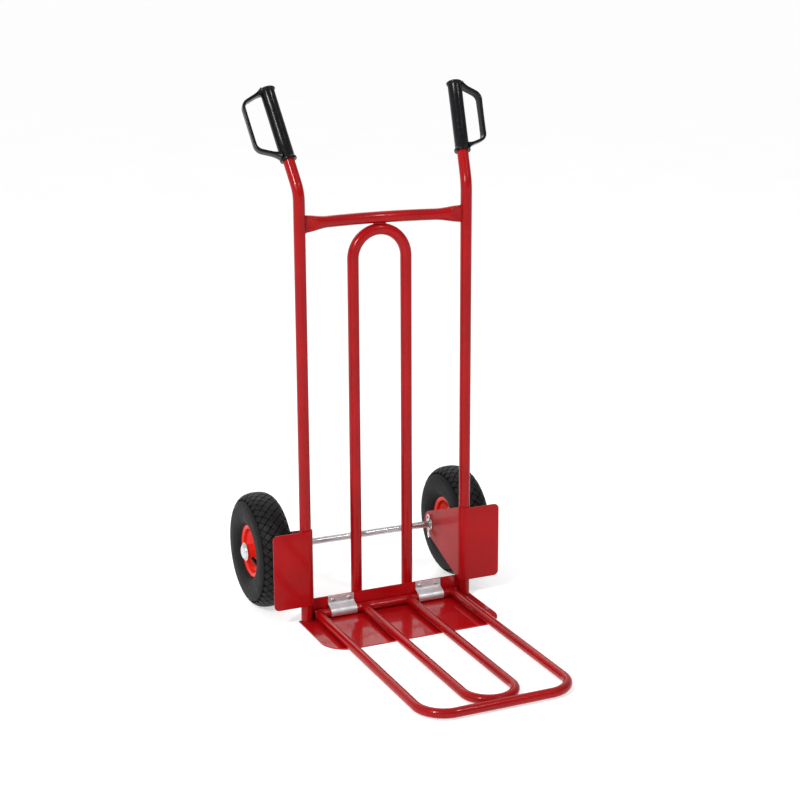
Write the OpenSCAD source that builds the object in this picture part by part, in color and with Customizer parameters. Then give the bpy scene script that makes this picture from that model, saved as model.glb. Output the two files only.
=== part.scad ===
// Sack truck: tubular frame, fixed toe plate, folding toe extension,
// two pneumatic wheels behind bent sheet guards and two hand grips with finger guards.
// Millimetres. +Z is up, the load stands on the -Y side and the wheels are on the +Y side.
// The origin is on the floor, under the middle of the truck's bounding box in X only:
// x = 0 is the plane of symmetry and y = 0 is the plane of the uprights.

/* [Frame] */
// Outside diameter of the uprights, the crossbar and the centre hoop
tube_d = 25; // [20:0.5:32]
// Wall of the frame tubes
tube_wall = 1.5; // [1:0.1:3]
// Distance between the axes of the two uprights
upright_spacing = 386; // [300:1:480]
// Height at which the uprights start to bend back
bend_height = 931; // [700:1:1150]
// Radius of that bend, on the tube's axis
bend_radius = 75; // [50:1:120]
// Lean of the handles from the vertical
handle_lean = 29.5; // [10:0.5:45]
// How far the handles' lean is turned outwards from straight back
handle_turn = 12.5; // [0:0.5:25]
// Bare tube between the bend and the grip
handle_bare = 52; // [20:1:120]
// Height of the crossbar's axis
crossbar_height = 884; // [600:1:920]
// Height of the crossbar's flattened ends
crossbar_end_height = 37; // [28:0.5:50]
// Thickness of the crossbar's flattened ends
crossbar_end_thickness = 6; // [4:0.5:12]
// Length over which each end of the crossbar flattens
crossbar_end_length = 52; // [30:1:90]
// Distance between the axes of the centre hoop's legs
hoop_spacing = 124; // [90:1:200]
// Height of the hoop legs' lower ends above the floor
hoop_foot = 6; // [3:0.5:20]

/* [Toe plate] */
// Thickness of the toe plate and of the wheel brackets
sheet_t = 3; // [2:0.5:5]
// How far the toe plate reaches past the outer side of each upright
toe_margin = 3.5; // [0:0.5:20]
// Distance from the uprights' axes to the toe plate's front edge
toe_depth = 180; // [120:1:260]
// Radius of the toe plate's front corners
toe_corner_r = 58; // [10:1:80]
// Height of the upstand along the toe plate's rear edge
upstand_height = 48; // [40:1:70]
// Outer radius of the fold between plate and upstand
fold_r = 6; // [5.5:0.5:12]

/* [Wheel brackets] */
// Reach of the guard plate outwards from the upright's axis
guard_width = 80; // [50:1:110]
// Height of the guard's lower edge above the floor
guard_bottom = 44; // [35:1:70]
// Height of the guard plate
guard_height = 172; // [140:1:220]
// Radius of the guard's outer corners
guard_corner_r = 11; // [4:0.5:25]
// Radius of the side flange's rounded end, round the axle
flange_end_r = 30; // [20:0.5:40]

/* [Wheels] */
// Distance of the axle behind the uprights' axes
axle_setback = 150; // [145:1:185]
// Diameter of the axle
axle_d = 16; // [12:0.5:20]
// Outside diameter of the tyres
wheel_d = 260; // [220:1:300]
// Width of the tyres
tyre_width = 80; // [66:1:90]
// Outside diameter of the rim flanges
rim_d = 118; // [110:1:126]
// Width over the rim flanges
rim_width = 54; // [48:1:60]
// Length of the wheel hub
hub_length = 75; // [64:1:90]
// Space on the axle between side flange and hub
spacer_length = 25; // [20:0.5:40]
// Diameter of the domed hub caps
hub_cap_d = 41; // [32:0.5:50]
// Height of the dome of the hub caps
hub_cap_h = 9; // [7.5:0.5:14]

/* [Toe extension] */
// Outside diameter of the extension's tubes
ext_d = 20; // [16:0.5:22]
// Wall of the extension's tubes
ext_wall = 1.5; // [1:0.1:3]
// Distance from the hinge axis to the front bar's axis
ext_length = 572; // [380:1:700]
// Radius of the outer loop's front corners, on the tube's axis
ext_corner_r = 60; // [30:1:90]
// Distance between the axes of the inner loop's legs
ext_inner_spacing = 109; // [70:1:120]
// Clearance between the folded extension and each side flange
ext_side_gap = 2.4; // [1:0.1:8]

/* [Hinge clips] */
// Width of each clip
clip_width = 62; // [40:1:66]
// Distance of each clip's middle from the plane of symmetry
clip_offset = 107; // [102:0.5:112]
// Thickness of the clips
clip_t = 2; // [1.5:0.1:3]
// Distance between the two rivets of one clip
rivet_spacing = 38; // [24:1:46]
// Diameter of the rivets
rivet_d = 6; // [4:0.5:8]

/* [Grips] */
// Length of each grip with its collars
grip_length = 164; // [120:1:190]
// Diameter of the grip's barrel
grip_d = 31; // [29:0.5:40]
// Diameter of the grip's collars
collar_d = 36; // [34:0.5:48]
// Thickness of the grip's collars and closed end
collar_t = 6; // [3:0.5:10]
// Distance of the guard strap's outer face from the grip's axis
strap_reach = 63; // [52:1:80]
// Width of the guard strap
strap_width = 20; // [10:0.5:24]
// Thickness of the guard strap
strap_t = 7; // [3:0.5:8]
// Turn of the guard strap about the grip, towards the rear
strap_turn = 19; // [0:1:45]

/* [Fits] */
// Gap left at welds and other seats within one body
seat_gap = 0.1; // [0.05:0.05:0.2]
// Gap between parts that turn past each other
turn_gap = 0.3; // [0.2:0.05:0.6]
// Radial clearance of the wheel bearings on the axle
bearing_gap = 0.05; // [0.02:0.01:0.1]
// Gap between the extension's tubes and the toe plate
ext_rest_gap = 0.4; // [0.3:0.1:1.5]

/* [Hidden] */
$fn = 64;

PAINT = "#C3211F";
RIM_PAINT = "#E8412F";
ZINC = "#B9BCC0";
BLACK = "#1C1C1E";
RUBBER = "#2A2A2B";
OVER = 1; // how far a cutting shape runs past what it cuts
BITE = 0.02; // how far a straight edge dips into a round it runs into, so that the two cross cleanly
BLEND_STEPS = 6; // straight pieces in a blended corner of a path
CLIP_STEPS = 24; // straight pieces in a hinge clip's ring
CROSSBAR_SIDES = 24; // corners of an outline of the crossbar's flattened ends
CROSSBAR_RINGS = 6; // steps in which the crossbar flattens
CROSSBAR_STEP = 0.2; // how much smaller than the tube its end pieces start

// Frame
tube_r = tube_d / 2;
upright_x = upright_spacing / 2;
wrap_r = tube_r + seat_gap; // inside radius of what closes round a frame tube
upstand_front = wrap_r;
upstand_back = upstand_front + sheet_t;
hoop_y = upstand_back + seat_gap + tube_r;
hoop_r = hoop_spacing / 2;
hoop_top = crossbar_height - tube_d - seat_gap;
crossbar_half = upright_x - wrap_r;
crossbar_bow_r = (pow(crossbar_half, 2) + pow(hoop_y, 2)) / (2 * hoop_y);
crossbar_arc = asin((crossbar_half - crossbar_end_length) / crossbar_bow_r);

// Toe plate and brackets
toe_half = upright_x + tube_r + toe_margin;
upstand_half = upright_x + 2;
guard_front = wrap_r + sheet_t;
guard_top = guard_bottom + guard_height;
flange_in = upright_x - wrap_r - sheet_t;
flange_out = upright_x - wrap_r;
slot_gap = 0.6; // round each side flange where it crosses the upstand

// Axle and wheels
axle_r = axle_d / 2;
axle_y = axle_setback;
axle_z = wheel_d / 2;
hub_in = flange_out + spacer_length;
hub_out = hub_in + hub_length;
wheel_x = hub_in + hub_length / 2;
axle_end = 6; // axle that stands out of each hub, inside the cap
washer_t = 2;
washer_r = axle_r + 7;
spacer_r = axle_r + 3;
spacer_gap = 0.1; // radial, of spacers, washers and caps on the axle
pin_r = 2;
pin_x = flange_in - seat_gap - washer_t - seat_gap - pin_r;
pin_eye_r = 6;
pin_leg = 13; // split pin below the axle's surface

// Wheel section: r is measured from the axle, z from the wheel's middle plane
tyre_r = wheel_d / 2;
rim_r = rim_d / 2;
rim_half = rim_width / 2;
rim_t = 2;
bead_r = rim_r - 7;
section_r = (tyre_r + bead_r) / 2; // radius at which the tyre is widest
section_h = (tyre_r - bead_r) / 2;
tyre_wall = 7;
tube_section_r = section_h - tyre_wall - seat_gap;
tube_skin = 1.5;
bead_gap = 14; // half the opening between the beads
well_r = 38;
disc_r = 22; // inner radius of the flat ring that the bolts clamp
boss_z = 9; // rise of the pressed boss at the hub
hub_r = axle_r + 7.5;
hub_wall = 2.5;
bearing_length = 22;
bolt_circle_r = (well_r + disc_r) / 2;
bolt_r = 3;
bolt_hex_r = 5.7;
bolt_head_t = 4;
nut_t = 5;
bolt_count = 4;
valve_r = 4;
valve_hole_r = 6.5;
valve_lean = 57; // from the wheel's axis, towards the hub
valve_length = 44;

// Extension
ext_r = ext_d / 2;
ext_y = upstand_front - 0.8 - ext_r; // hinge axis, clear of the upstand
ext_z = sheet_t + ext_rest_gap + ext_r;
ext_half = flange_in - ext_side_gap;
ext_side_x = ext_half - ext_r;
ext_front = ext_y - ext_length;
ext_inner_r = ext_inner_spacing / 2;
ext_inner_front = ext_front + ext_d + seat_gap;
cope_r = ext_r + seat_gap;
plug_t = 4;

// Hinge clips
clip_top = upstand_height - 0.5;
clip_bend_z = ext_z + ext_r + 7; // where the flat flange turns towards the bar
clip_mid_y = upstand_front - seat_gap - clip_t / 2;
clip_ring_r = ext_r + turn_gap + clip_t / 2; // middle of the clip's sheet round the bar
clip_lip_angle = 215;
rivet_r = rivet_d / 2;
rivet_z = (clip_top + clip_bend_z) / 2 - 0.5;
rivet_head_r = rivet_r + 2.2;
rivet_head_t = 2.4;

// Grips
grip_r = grip_d / 2;
strap_foot = [collar_t + strap_t, grip_length - collar_t]; // along the grip, at the barrel
strap_knee = [36, grip_length - 24]; // along the grip, at full reach
strap_blend = 12; // how far before each knee the strap starts to curve

// Angle at which the line from p touches the circle round c, on the side given by turn
function tangent_angle(p, c, r, turn) =
    atan2(c[1] - p[1], c[0] - p[0]) + turn * asin(r / norm(c - p));
function tangent_point(p, c, r, turn) =
    let (a = tangent_angle(p, c, r, turn), d = sqrt(pow(norm(c - p), 2) - r * r))
    p + d * [cos(a), sin(a)];
// Superellipse with half-sizes a and b
function squarish(a, b, n, steps) = [
    for (i = [0 : steps - 1])
        let (t = 360 * i / steps, c = cos(t), s = sin(t))
        [a * sign(c) * pow(abs(c), 2 / n), b * sign(s) * pow(abs(s), 2 / n)]
];

// Unit vector along a segment, and the one to its left
function along(a, b) = (b - a) / norm(b - a);
function left_of(v) = [-v[1], v[0]];
// Corner of a path moved sideways by d, with a mitre between its two segments
function moved(points, i, d) =
    let (last = len(points) - 1)
    let (before = along(points[max(i - 1, 0)], points[max(i, 1)]))
    let (after = along(points[min(i, last - 1)], points[min(i + 1, last)]))
    let (mitre = left_of(before) + left_of(after))
    points[i] + 2 * d * mitre / (mitre * mitre);
// Outline of a strip of thickness t that follows the points
function strip(points, t) = concat(
    [for (i = [0 : len(points) - 1]) moved(points, i, t / 2)],
    [for (i = [len(points) - 1 : -1 : 0]) moved(points, i, -t / 2)]
);

// Path with each inner corner blended into a curve that starts reach before the corner
function blended(points, reach) = let (last = len(points) - 1) concat(
    [points[0]],
    [
        for (i = [1 : last - 1], k = [0 : BLEND_STEPS])
            let (t = k / BLEND_STEPS, corner = points[i])
            let (start = corner - reach * along(points[i - 1], corner))
            let (end = corner + reach * along(corner, points[i + 1]))
            (1 - t) * (1 - t) * start + 2 * t * (1 - t) * corner + t * t * end
    ],
    [points[last]]
);

// Draws the right-hand piece for side 1 and its mirror image for side -1
module sided(side) {
    mirror([side < 0 ? 1 : 0, 0, 0]) children();
}

// A bar of thickness t from a to b with round ends, in 2D
module bar2d(a, b, t) {
    translate(a) rotate(atan2(b[1] - a[1], b[0] - a[0])) translate([0, -t / 2]) square([norm(b - a), t]);
    translate(a) circle(d = t);
    translate(b) circle(d = t);
}

// Puts children in the plane of the right-hand bend: z up from its start, x towards the rear
module on_bend() {
    translate([upright_x, 0, bend_height]) rotate([0, 0, 90 - handle_turn]) children();
}

// Puts children on the right-hand handle: z along it from the end of the bend, x towards the rear
module on_handle() {
    on_bend() translate([bend_radius, 0, 0]) rotate([0, handle_lean, 0])
        translate([-bend_radius, 0, 0]) children();
}

module upright_core(r, foot, length) {
    translate([upright_x, 0, foot]) cylinder(r = r, h = bend_height - foot);
    on_bend() translate([bend_radius, 0, 0]) rotate([90, 0, 0]) rotate([0, 0, 180 - handle_lean])
        rotate_extrude(angle = handle_lean) translate([bend_radius, 0]) circle(r = r);
    on_handle() cylinder(r = r, h = length);
}

module upright(side) {
    inside = handle_bare + grip_length - collar_t - seat_gap; // the tube reaches the grip's closed end
    fold_y = upstand_back - fold_r;
    color(PAINT) sided(side) difference() {
        upright_core(tube_r, sheet_t, inside);
        upright_core(tube_r - tube_wall, sheet_t - OVER, inside + OVER);
        translate([upright_x - tube_d, fold_y, 0]) cube([2 * tube_d, tube_d, fold_r]);
    }
}

module crossbar_arc_solid(r) {
    translate([0, hoop_y - crossbar_bow_r, crossbar_height])
        rotate([0, 0, 90 - crossbar_arc])
            rotate_extrude(angle = 2 * crossbar_arc)
                translate([crossbar_bow_r, 0]) circle(r = r);
}

// Rings of points, each running the same way, joined into a closed skin
module skin(rings) {
    n = len(rings[0]);
    last = (len(rings) - 1) * n;
    polyhedron(
        [for (ring = rings, p = ring) p],
        [
            [for (j = [0 : n - 1]) j],
            [for (j = [n - 1 : -1 : 0]) last + j],
            for (a = [0 : n : last - n], j = [0 : n - 1])
                let (k = (j + 1) % n)
                each [[a + j, a + n + j, a + n + k], [a + j, a + n + k, a + k]]
        ]
    );
}

// Outline of the crossbar's flattened end at t: 0 where the tube ends, 1 at the upright, less inside
function crossbar_ring(t) =
    let (flat = max(t, 0), r = tube_r - CROSSBAR_STEP)
    let (a = crossbar_arc + (asin(crossbar_half / crossbar_bow_r) - crossbar_arc) * t)
    let (across = [(1 - flat) * sin(a), (1 - flat) * cos(a) + flat])
    let (centre = crossbar_bow_r * [sin(a), cos(a)] + [0, hoop_y - crossbar_bow_r])
    let (thick = r + (crossbar_end_thickness / 2 - r) * flat)
    let (tall = r + (crossbar_end_height / 2 - r) * flat)
    [
        for (p = squarish(thick, tall, 2 + flat, CROSSBAR_SIDES))
            [centre[0] + across[0] * p[0], centre[1] + across[1] * p[0], crossbar_height + p[1]]
    ];

module crossbar_end() {
    skin([for (i = [-1 : CROSSBAR_RINGS]) crossbar_ring((i < 0 ? 0.2 * i : i) / CROSSBAR_RINGS)]);
}

module crossbar() {
    color(PAINT) union() {
        difference() {
            crossbar_arc_solid(tube_r);
            crossbar_arc_solid(tube_r - tube_wall);
        }
        for (side = [-1, 1]) sided(side) crossbar_end();
    }
}

module hoop_core(r, foot) {
    arc_z = hoop_top - hoop_r;
    for (side = [-1, 1])
        translate([side * hoop_r, hoop_y, foot]) cylinder(r = r, h = arc_z - foot);
    translate([0, hoop_y, arc_z]) rotate([90, 0, 0])
        rotate_extrude(angle = 180) translate([hoop_r, 0]) circle(r = r);
}

module centre_hoop() {
    color(PAINT) difference() {
        hoop_core(tube_r, hoop_foot);
        hoop_core(tube_r - tube_wall, hoop_foot - OVER);
    }
}

// Section of the plate, its fold and the upstand: first axis +Y, second axis +Z
module toe_section() {
    fold_y = upstand_back - fold_r;
    translate([-toe_depth, 0]) square([toe_depth + fold_y, sheet_t]);
    translate([upstand_front, fold_r]) square([sheet_t, upstand_height - fold_r]);
    translate([fold_y, fold_r]) intersection() {
        difference() {
            circle(r = fold_r);
            circle(r = fold_r - sheet_t);
        }
        translate([0, -fold_r]) square(fold_r);
    }
}

module toe_plan() {
    front = -toe_depth + toe_corner_r;
    translate([-toe_half, front]) square([2 * toe_half, upstand_back - front]);
    translate([-toe_half + toe_corner_r, -toe_depth])
        square([2 * (toe_half - toe_corner_r), toe_corner_r + OVER]);
    for (side = [-1, 1])
        translate([side * (toe_half - toe_corner_r), front]) circle(r = toe_corner_r);
}

module toe_plate() {
    fold_y = upstand_back - fold_r;
    color(PAINT) difference() {
        intersection() {
            translate([-toe_half, 0, 0]) rotate([90, 0, 90]) linear_extrude(2 * toe_half) toe_section();
            linear_extrude(upstand_height) toe_plan();
        }
        for (side = [-1, 1]) sided(side) {
            translate([upstand_half, fold_y, -OVER]) cube([toe_half, fold_r + OVER, upstand_height + 2 * OVER]);
            translate([flange_in - slot_gap, fold_y + OVER, guard_bottom - slot_gap])
                cube([sheet_t + 2 * slot_gap, fold_r, upstand_height]);
            rivet_places() cylinder(r = rivet_r + seat_gap, h = 4 * (sheet_t + clip_t), center = true);
        }
    }
}

// Outline of the guard plate: first axis +X from the upright's axis, second axis +Z
module guard_outline() {
    square([guard_width - guard_corner_r, guard_height]);
    translate([0, guard_corner_r]) square([guard_width, guard_height - 2 * guard_corner_r]);
    for (z = [guard_corner_r, guard_height - guard_corner_r])
        translate([guard_width - guard_corner_r, z]) circle(r = guard_corner_r);
}

// Outline of the side flange: first axis +Y, second axis +Z
module flange_outline() {
    centre = [axle_y, axle_z];
    low = [0, guard_bottom];
    high = [0, guard_top];
    touch_r = flange_end_r - BITE;
    polygon([
        low,
        tangent_point(low, centre, touch_r, -1),
        centre,
        tangent_point(high, centre, touch_r, 1),
        high
    ]);
    translate(centre) circle(r = flange_end_r);
}

module wheel_bracket(side) {
    color(PAINT) sided(side) difference() {
        union() {
            translate([upright_x, -wrap_r, guard_bottom])
                rotate([90, 0, 0]) linear_extrude(sheet_t) guard_outline();
            translate([upright_x, 0, guard_bottom]) rotate([0, 0, 180])
                rotate_extrude(angle = 90) translate([wrap_r, 0]) square([sheet_t, guard_height]);
            translate([flange_in, 0, 0])
                rotate([90, 0, 90]) linear_extrude(sheet_t) flange_outline();
        }
        on_axle(flange_in - OVER) cylinder(r = axle_r + spacer_gap, h = sheet_t + 2 * OVER);
    }
}

// Puts children on the axle: z along +X from x
module on_axle(x) {
    translate([x, axle_y, axle_z]) rotate([0, 90, 0]) children();
}

module ring(outer, inner, h) {
    difference() {
        cylinder(r = outer, h = h);
        translate([0, 0, -OVER]) cylinder(r = inner, h = h + 2 * OVER);
    }
}

module axle() {
    half = hub_out + axle_end;
    color(ZINC) difference() {
        on_axle(-half) cylinder(r = axle_r, h = 2 * half);
        for (side = [-1, 1])
            translate([side * pin_x, axle_y, axle_z]) cylinder(r = pin_r + seat_gap, h = axle_d + 2 * OVER, center = true);
    }
}

module axle_spacer(side) {
    color(ZINC) sided(side) on_axle(flange_out + seat_gap)
        ring(spacer_r, axle_r + spacer_gap, spacer_length - seat_gap - turn_gap);
}

module axle_washers() {
    color(ZINC) for (side = [-1, 1]) sided(side)
        on_axle(flange_in - seat_gap - washer_t) ring(washer_r, axle_r + spacer_gap, washer_t);
}

module split_pin(side) {
    below = axle_r + pin_leg;
    color(ZINC) sided(side) translate([pin_x, axle_y, axle_z]) {
        translate([0, 0, -below]) cylinder(r = pin_r, h = below + axle_r + pin_r);
        translate([0, 0, axle_r + pin_r + pin_eye_r])
            rotate([0, 90, 0]) rotate_extrude() translate([pin_eye_r, 0]) circle(r = pin_r);
    }
}

module hub_cap(side) {
    cap_r = hub_cap_d / 2;
    dome_r = (pow(cap_r, 2) + pow(hub_cap_h, 2)) / (2 * hub_cap_h);
    color(ZINC) sided(side) on_axle(hub_out + turn_gap) rotate_extrude() difference() {
        intersection() {
            translate([0, hub_cap_h - dome_r]) circle(r = dome_r);
            square([cap_r + OVER, hub_cap_h]);
        }
        square([axle_r + seat_gap, axle_end]);
    }
}

// Section of a hinge clip: first axis +Y, second axis +Z
module clip_section() {
    bar = [ext_y, ext_z];
    bend = [clip_mid_y, clip_bend_z];
    touch = tangent_point(bend, bar, clip_ring_r, -1);
    start = atan2(touch[1] - bar[1], touch[0] - bar[0]);
    polygon(strip([
        [clip_mid_y, clip_top],
        bend,
        for (i = [0 : CLIP_STEPS])
            let (a = start + (clip_lip_angle - start) * i / CLIP_STEPS)
            bar + clip_ring_r * [cos(a), sin(a)]
    ], clip_t));
}

// Puts children on each rivet of the right-hand clip: z towards the front
module rivet_places() {
    for (step = [-1, 1])
        translate([clip_offset + step * rivet_spacing / 2, upstand_front, rivet_z])
            rotate([90, 0, 0]) children();
}

module hinge_clip(side) {
    color(ZINC) sided(side) difference() {
        translate([clip_offset - clip_width / 2, 0, 0])
            rotate([90, 0, 90]) linear_extrude(clip_width) clip_section();
        rivet_places() cylinder(r = rivet_r + seat_gap, h = 4 * (sheet_t + clip_t), center = true);
    }
}

module clip_rivets() {
    front = seat_gap + clip_t + seat_gap;
    back = sheet_t + seat_gap;
    color(ZINC) for (side = [-1, 1]) sided(side) rivet_places() {
        translate([0, 0, -back]) cylinder(r = rivet_r, h = front + back);
        translate([0, 0, front]) cylinder(r1 = rivet_head_r, r2 = rivet_r, h = rivet_head_t);
        translate([0, 0, -back - rivet_head_t]) cylinder(r1 = rivet_r, r2 = rivet_head_r, h = rivet_head_t);
    }
}

// Outline of the guard strap: first axis outwards from the grip, second axis along it
module strap_outline() {
    mid = strap_reach - strap_t / 2;
    root = grip_r - 1;
    path = [[root, strap_foot[0]], [mid, strap_knee[0]], [mid, strap_knee[1]], [root, strap_foot[1]]];
    polygon(strip(blended(path, strap_blend), strap_t));
}

module grip(side) {
    color(BLACK) sided(side) on_handle() translate([0, 0, handle_bare]) difference() {
        union() {
            cylinder(r = grip_r, h = grip_length);
            cylinder(d = collar_d, h = collar_t);
            translate([0, 0, grip_length - collar_t]) cylinder(d = collar_d, h = collar_t);
            rotate([0, 0, strap_turn - 90]) rotate([90, 0, 0])
                linear_extrude(strap_width, center = true) strap_outline();
        }
        translate([0, 0, -OVER]) cylinder(r = wrap_r, h = grip_length - collar_t + OVER);
    }
}

// Puts children on the right-hand wheel: z outwards along the axle from the wheel's middle
module on_wheel(side) {
    sided(side) on_axle(wheel_x) children();
}

module tyre(side) {
    color(RUBBER) on_wheel(side) rotate_extrude($fn = 96) difference() {
        union() {
            translate([section_r, 0]) polygon(squarish(section_h, tyre_width / 2, 2.6, 48));
            for (low = [bead_gap, -rim_half + rim_t])
                translate([bead_r, min(low, low)]) square([12, rim_half - rim_t - bead_gap]);
        }
        translate([section_r, 0])
            polygon(squarish(section_h - tyre_wall, tyre_width / 2 - tyre_wall, 2.4, 40));
        translate([0, -bead_gap]) square([section_r - 10, 2 * bead_gap]);
        for (low = [rim_half - rim_t, -tyre_width])
            translate([0, low]) square([rim_r + turn_gap, tyre_width - rim_half + rim_t]);
    }
}

module inner_tube(side) {
    color(BLACK) on_wheel(side) rotate_extrude() translate([section_r, 0]) difference() {
        circle(r = tube_section_r);
        circle(r = tube_section_r - tube_skin);
    }
}

// Section of the outer rim half: first axis out from the axle, second axis along it
module rim_section() {
    bed_r = bead_r - turn_gap;
    bed_z = rim_half - 10;
    middle = rim_t / 2;
    polygon(strip([
        [rim_r, rim_half - middle], [bed_r - middle, rim_half - middle],
        [bed_r - middle, bed_z], [well_r, middle], [disc_r, middle],
        [hub_r + seat_gap + rim_t, boss_z], [hub_r + seat_gap, boss_z]
    ], rim_t));
}

// Puts children on each rim bolt, z along the axle
module bolt_places() {
    for (i = [0 : bolt_count - 1])
        rotate([0, 0, 360 * (i + 0.5) / bolt_count]) translate([bolt_circle_r, 0, 0]) children();
}

// Puts children on the valve's stem: z along it from the inner tube
module on_valve() {
    translate([section_r - tube_section_r - seat_gap, 0, 0])
        rotate([0, -valve_lean, 0]) translate([0, 0, valve_r / tan(valve_lean)]) children();
}

module rim_half_shell(side, outer) {
    color(RIM_PAINT) on_wheel(side) mirror([0, 0, outer ? 0 : 1]) difference() {
        rotate_extrude() rim_section();
        bolt_places() cylinder(r = bolt_r + seat_gap, h = 4 * rim_t, center = true);
        if (outer) on_valve() cylinder(r = valve_hole_r, h = valve_length);
    }
}

module hub(side) {
    color(RIM_PAINT) on_wheel(side) translate([0, 0, -hub_length / 2])
        ring(hub_r, hub_r - hub_wall, hub_length);
}

module bearings(side) {
    color("#D8D4C8") on_wheel(side) for (low = [-hub_length / 2, hub_length / 2 - bearing_length])
        translate([0, 0, low])
            ring(hub_r - hub_wall - seat_gap, axle_r + bearing_gap, bearing_length);
}

module rim_bolts(side) {
    color(ZINC) on_wheel(side) bolt_places() {
        translate([0, 0, rim_t + seat_gap]) cylinder(r = bolt_hex_r, h = bolt_head_t, $fn = 6);
        translate([0, 0, -rim_t - nut_t - 2]) cylinder(r = bolt_r, h = 2 * rim_t + nut_t + 2 + seat_gap);
    }
}

module rim_nuts(side) {
    color(ZINC) on_wheel(side) bolt_places() translate([0, 0, -rim_t - seat_gap - nut_t]) difference() {
        cylinder(r = bolt_hex_r, h = nut_t, $fn = 6);
        translate([0, 0, -OVER]) cylinder(r = bolt_r + seat_gap, h = nut_t + 2 * OVER);
    }
}

module valve(side) {
    color(BLACK) on_wheel(side) on_valve() cylinder(r = valve_r, h = valve_length);
}

// Puts children on the hinge axis of the extension: z along +X from x
module on_hinge(x) {
    translate([x, ext_y, ext_z]) rotate([0, 90, 0]) children();
}

module extension_rear_bar() {
    color(PAINT) on_hinge(-ext_half) ring(ext_r, ext_r - ext_wall, 2 * ext_half);
}

module extension_end_plugs() {
    color(BLACK) for (side = [-1, 1]) sided(side)
        on_hinge(ext_half - plug_t) cylinder(r = ext_r - ext_wall - seat_gap, h = plug_t);
}

// A flat loop open to the rear: legs at +-half, front bar at y = front, corner radius corner
module loop_core(tube, half, front, corner) {
    leg = ext_y - front - corner;
    for (side = [-1, 1])
        translate([side * half, ext_y, ext_z]) rotate([90, 0, 0]) cylinder(r = tube, h = leg);
    if (half > corner) {
        for (side = [-1, 1]) sided(side)
            translate([half - corner, front + corner, ext_z]) rotate([0, 0, -90])
                rotate_extrude(angle = 90) translate([corner, 0]) circle(r = tube);
        translate([corner - half, front, ext_z]) rotate([0, 90, 0])
            cylinder(r = tube, h = 2 * (half - corner));
    } else {
        translate([0, front + corner, ext_z]) rotate([0, 0, 180])
            rotate_extrude(angle = 180) translate([corner, 0]) circle(r = tube);
    }
}

module extension_loop(half, front, corner) {
    color(PAINT) difference() {
        loop_core(ext_r, half, front, corner);
        loop_core(ext_r - ext_wall, half, front, corner);
        on_hinge(-ext_half - OVER) cylinder(r = cope_r, h = 2 * (ext_half + OVER));
    }
}

module extension_outer_loop() {
    extension_loop(ext_side_x, ext_front, ext_corner_r);
}

module extension_inner_loop() {
    extension_loop(ext_inner_r, ext_inner_front, ext_inner_r);
}

upright(-1);  // left_upright
upright(1);  // right_upright
crossbar();
centre_hoop();
toe_plate();
wheel_bracket(-1);  // left_wheel_bracket
wheel_bracket(1);  // right_wheel_bracket
axle();
axle_spacer(-1);  // left_axle_spacer
axle_spacer(1);  // right_axle_spacer
axle_washers();
split_pin(-1);  // left_split_pin
split_pin(1);  // right_split_pin
hub_cap(-1);  // left_hub_cap
hub_cap(1);  // right_hub_cap
hinge_clip(-1);  // left_hinge_clip
hinge_clip(1);  // right_hinge_clip
clip_rivets();
grip(-1);  // left_grip
grip(1);  // right_grip
tyre(-1);  // left_tyre
inner_tube(-1);  // left_inner_tube
rim_half_shell(-1, true);  // left_rim_outer_half
rim_half_shell(-1, false);  // left_rim_inner_half
hub(-1);  // left_hub
bearings(-1);  // left_bearings
rim_bolts(-1);  // left_rim_bolts
rim_nuts(-1);  // left_rim_nuts
valve(-1);  // left_valve
tyre(1);  // right_tyre
inner_tube(1);  // right_inner_tube
rim_half_shell(1, true);  // right_rim_outer_half
rim_half_shell(1, false);  // right_rim_inner_half
hub(1);  // right_hub
bearings(1);  // right_bearings
rim_bolts(1);  // right_rim_bolts
rim_nuts(1);  // right_rim_nuts
valve(1);  // right_valve
extension_rear_bar();
extension_end_plugs();
extension_outer_loop();
extension_inner_loop();
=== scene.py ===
"""The looks of a hand truck with a folding toe extension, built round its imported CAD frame.

Shapes are worked out in millimetres, in the CAD's own axes, and turned into metres when a
piece is made. Right-hand pieces are described, and left-hand ones are their mirror images.
"""

import math

import bpy
from mathutils import Matrix, Vector


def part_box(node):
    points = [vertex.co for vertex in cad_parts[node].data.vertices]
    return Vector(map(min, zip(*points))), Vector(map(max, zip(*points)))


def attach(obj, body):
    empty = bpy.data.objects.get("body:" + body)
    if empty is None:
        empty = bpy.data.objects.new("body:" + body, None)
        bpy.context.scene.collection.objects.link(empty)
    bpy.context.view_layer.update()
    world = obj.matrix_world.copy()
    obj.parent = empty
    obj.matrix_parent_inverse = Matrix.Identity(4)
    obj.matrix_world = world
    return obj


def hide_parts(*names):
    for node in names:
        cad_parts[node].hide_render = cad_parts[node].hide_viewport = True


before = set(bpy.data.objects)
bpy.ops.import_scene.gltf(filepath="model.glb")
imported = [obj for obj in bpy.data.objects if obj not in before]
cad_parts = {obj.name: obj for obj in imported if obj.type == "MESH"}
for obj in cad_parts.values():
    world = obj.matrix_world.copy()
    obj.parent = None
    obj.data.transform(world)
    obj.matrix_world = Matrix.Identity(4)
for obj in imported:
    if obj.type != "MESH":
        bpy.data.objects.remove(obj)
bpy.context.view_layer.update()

MM = 0.001
X, Y, Z = Vector((1, 0, 0)), Vector((0, 1, 0)), Vector((0, 0, 1))
SIDES = (("left", -1), ("right", 1))


def span(node):
    """Lowest and highest corner of a CAD node, in millimetres."""
    lo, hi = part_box(node)
    return Vector(lo) / MM, Vector(hi) / MM


# -------- sizes, from the CAD nodes

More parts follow.
